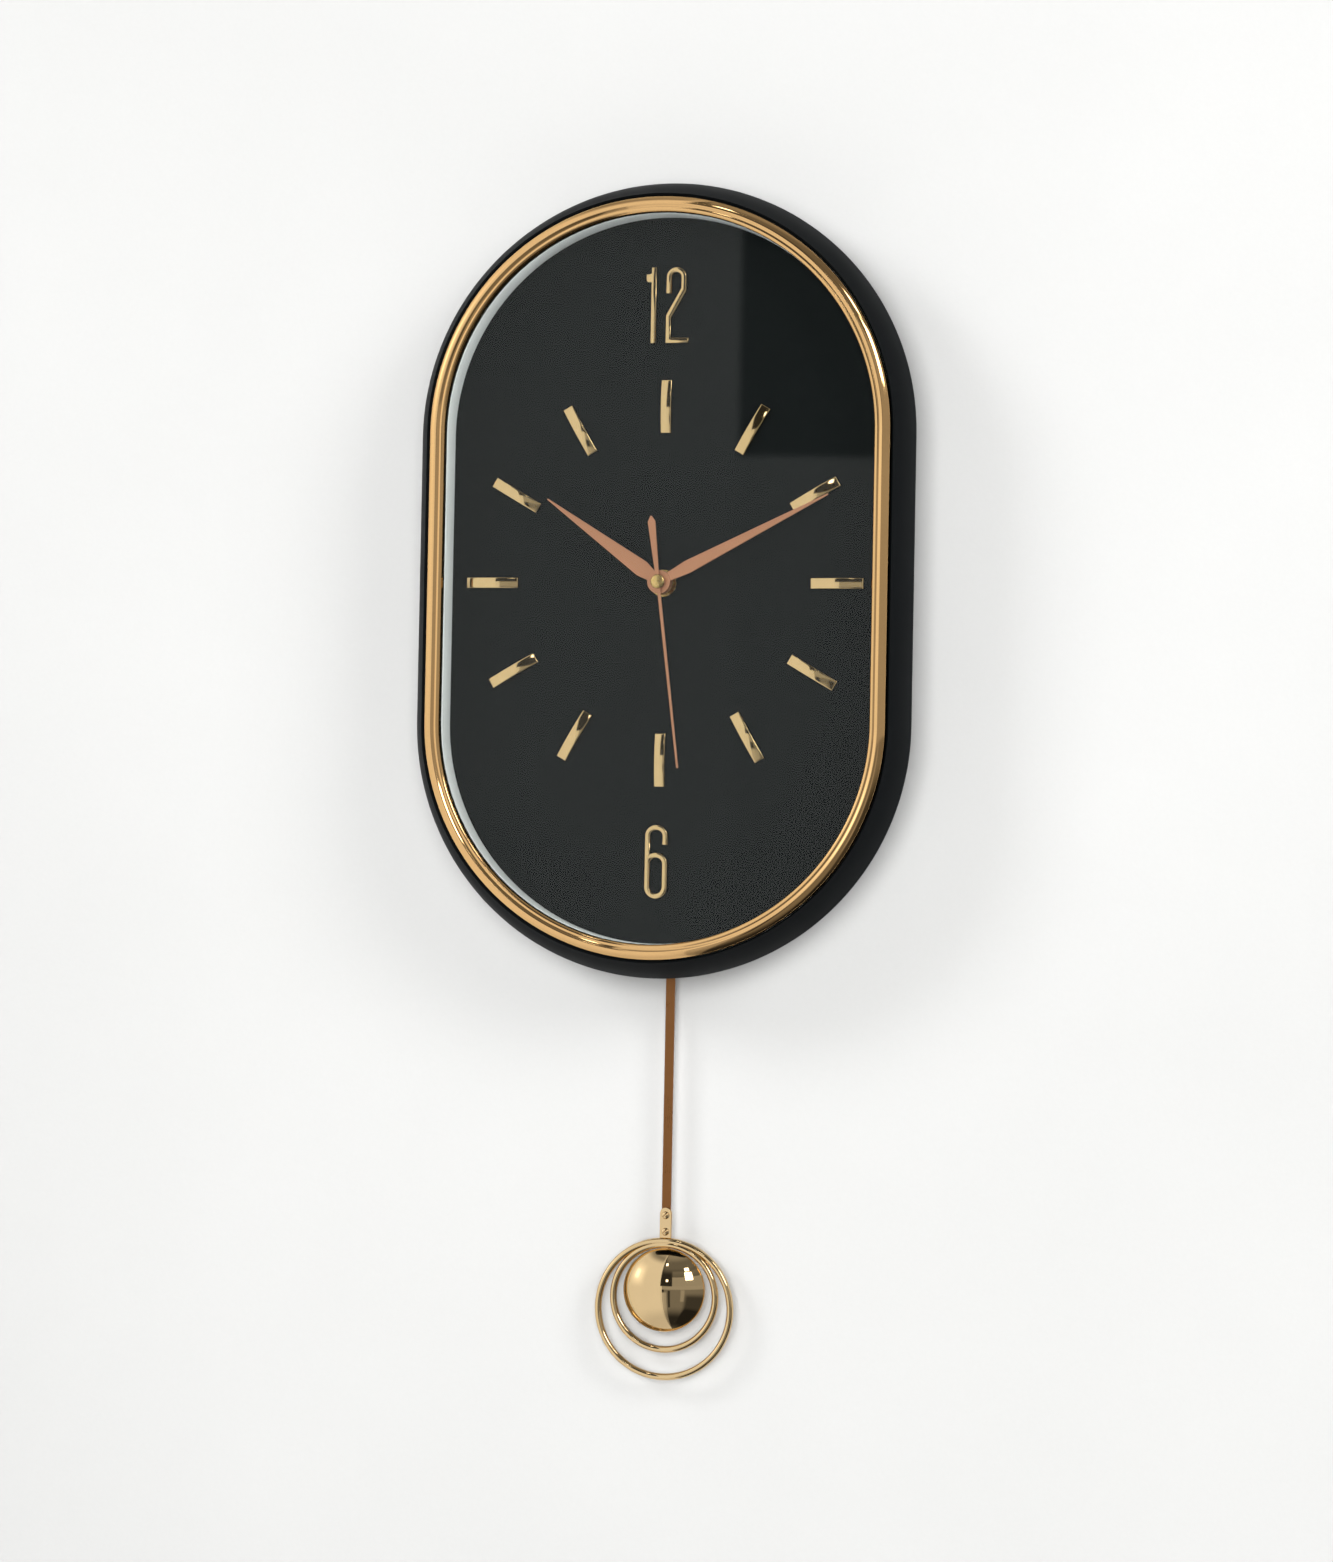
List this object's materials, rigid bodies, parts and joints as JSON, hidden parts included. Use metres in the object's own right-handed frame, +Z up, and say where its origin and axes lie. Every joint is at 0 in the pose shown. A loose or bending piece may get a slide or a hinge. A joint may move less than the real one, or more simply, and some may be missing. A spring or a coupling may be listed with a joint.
{
  "type": "pendulum wall clock",
  "caption": "Stadium-shaped quartz wall clock with a domed gold bezel, raised markers, three geared hands and a swinging flat-rod pendulum with a ringed domed bob.",
  "frame": {"origin": "centre of the keyhole's round entry at the back face, which lies on the wall", "axes": "+Z up, +Y into the wall, +X to the viewer's right; the dial faces -Y"},
  "size_m": [0.3, 0.0751, 0.7107],
  "materials": {
    "case_black": "moulded, satin black",
    "bezel_gold": "plated warm gold, polished",
    "clear_glass": "flat clear glass",
    "black_rubber": "soft black",
    "reflector_silver": "satin silver",
    "dial_charcoal": "rigid board, fine matte charcoal",
    "rear_black": "moulded, fine texture",
    "screw_steel": "zinc plated",
    "movement_black": "moulded, satin",
    "brass_fitting": "turned and polished",
    "circuit_green": "solder mask",
    "copper_winding": "enamelled copper wire",
    "stator_steel": "stamped",
    "magnet_grey": "nickel plated",
    "gear_nylon": "natural white",
    "battery_jacket": "printed sleeve, plain",
    "contact_plate": "nickel plated spring steel",
    "hand_rose": "rose gold, satin",
    "marker_gold": "polished pale gold",
    "rod_copper": "brown copper, satin",
    "bob_gold": "polished gold plate"
  },
  "bodies": {
    "clock_body": {"case_shell": "case_black", "bezel_ring": "bezel_gold", "lens_glass": "clear_glass", "lens_gasket": "black_rubber", "rubber_washer": "black_rubber", "reflector_ring": "reflector_silver", "dial_plate": "dial_charcoal", "rear_cover": "rear_black", "rear_cover_screws": "screw_steel", "pendulum_pivot_pin": "screw_steel", "movement_case_front": "movement_black", "movement_case_rear": "movement_black", "pendulum_case": "movement_black", "fixing_nut": "brass_fitting", "circuit_board": "circuit_green", "motor_coil": "copper_winding", "drive_coil": "copper_winding", "motor_stator": "stator_steel", "battery": "battery_jacket", "battery_contacts": "contact_plate", "numeral_one": "marker_gold", "numeral_two": "marker_gold", "numeral_six": "marker_gold", "hour_marker_01": "marker_gold", "hour_marker_02": "marker_gold", "hour_marker_03": "marker_gold", "hour_marker_04": "marker_gold", "hour_marker_05": "marker_gold", "hour_marker_06": "marker_gold", "hour_marker_07": "marker_gold", "hour_marker_08": "marker_gold", "hour_marker_09": "marker_gold", "hour_marker_10": "marker_gold", "hour_marker_11": "marker_gold", "hour_marker_12": "marker_gold"},
    "second_hand_and_arbor": {"second_arbor": "gear_nylon", "second_hand": "hand_rose", "second_hand_cap": "brass_fitting"},
    "third_wheel_body": {"third_wheel": "gear_nylon"},
    "minute_hand_and_arbor": {"minute_arbor": "gear_nylon", "minute_hand": "hand_rose"},
    "motion_wheel_body": {"motion_wheel": "gear_nylon"},
    "hour_hand_and_wheel": {"hour_wheel": "gear_nylon", "hour_hand": "hand_rose"},
    "intermediate_wheel_body": {"intermediate_wheel": "gear_nylon"},
    "rotor_body": {"rotor": "magnet_grey"},
    "setting_knob_body": {"setting_knob": "gear_nylon"},
    "pendulum": {"swing_arm": "gear_nylon", "drive_magnet": "magnet_grey", "pendulum_rod": "rod_copper", "bob_plate": "bob_gold", "bob_screws": "bob_gold", "bob_outer_ring": "bob_gold", "bob_inner_ring": "bob_gold", "bob_back_plate": "bob_gold", "bob_dome": "bob_gold"}
  },
  "joints": [
    {"name": "second_spin", "type": "hinge", "parent": "clock_body", "child": "second_hand_and_arbor", "pos_m": [0, -0.05, -0.197], "axis": [0, 1, 0], "continuous": true},
    {"name": "third_wheel_spin", "type": "hinge", "parent": "clock_body", "child": "third_wheel_body", "pos_m": [-0.01224, -0.037, -0.197], "axis": [0, 1, 0], "continuous": true},
    {"name": "minute_spin", "type": "hinge", "parent": "clock_body", "child": "minute_hand_and_arbor", "pos_m": [0, -0.05, -0.197], "axis": [0, 1, 0], "continuous": true},
    {"name": "motion_wheel_spin", "type": "hinge", "parent": "clock_body", "child": "motion_wheel_body", "pos_m": [0, -0.042, -0.207], "axis": [0, 1, 0], "continuous": true},
    {"name": "hour_spin", "type": "hinge", "parent": "clock_body", "child": "hour_hand_and_wheel", "pos_m": [0, -0.05, -0.197], "axis": [0, 1, 0], "continuous": true},
    {"name": "intermediate_wheel_spin", "type": "hinge", "parent": "clock_body", "child": "intermediate_wheel_body", "pos_m": [0.01008, -0.033, -0.197], "axis": [0, 1, 0], "continuous": true},
    {"name": "rotor_spin", "type": "hinge", "parent": "clock_body", "child": "rotor_body", "pos_m": [0.01881, -0.033, -0.19196], "axis": [0, 1, 0], "continuous": true},
    {"name": "setting_knob_spin", "type": "hinge", "parent": "clock_body", "child": "setting_knob_body", "pos_m": [0.00743, -0.03, -0.21369], "axis": [0, 1, 0], "continuous": true},
    {"name": "pendulum_swing", "type": "hinge", "parent": "clock_body", "child": "pendulum", "pos_m": [0, -0.016, -0.159], "axis": [0, 1, 0], "range_deg": [-7, 7]}
  ],
  "couplings": [
    {"joint": "third_wheel_spin", "follows": "second_spin", "ratio": -0.13333},
    {"joint": "minute_spin", "follows": "second_spin", "ratio": 0.016667},
    {"joint": "motion_wheel_spin", "follows": "second_spin", "ratio": -0.0055556},
    {"joint": "hour_spin", "follows": "second_spin", "ratio": 0.0013889},
    {"joint": "setting_knob_spin", "follows": "second_spin", "ratio": 0.016667},
    {"joint": "intermediate_wheel_spin", "follows": "second_spin", "ratio": -5},
    {"joint": "rotor_spin", "follows": "second_spin", "ratio": 30}
  ]
}
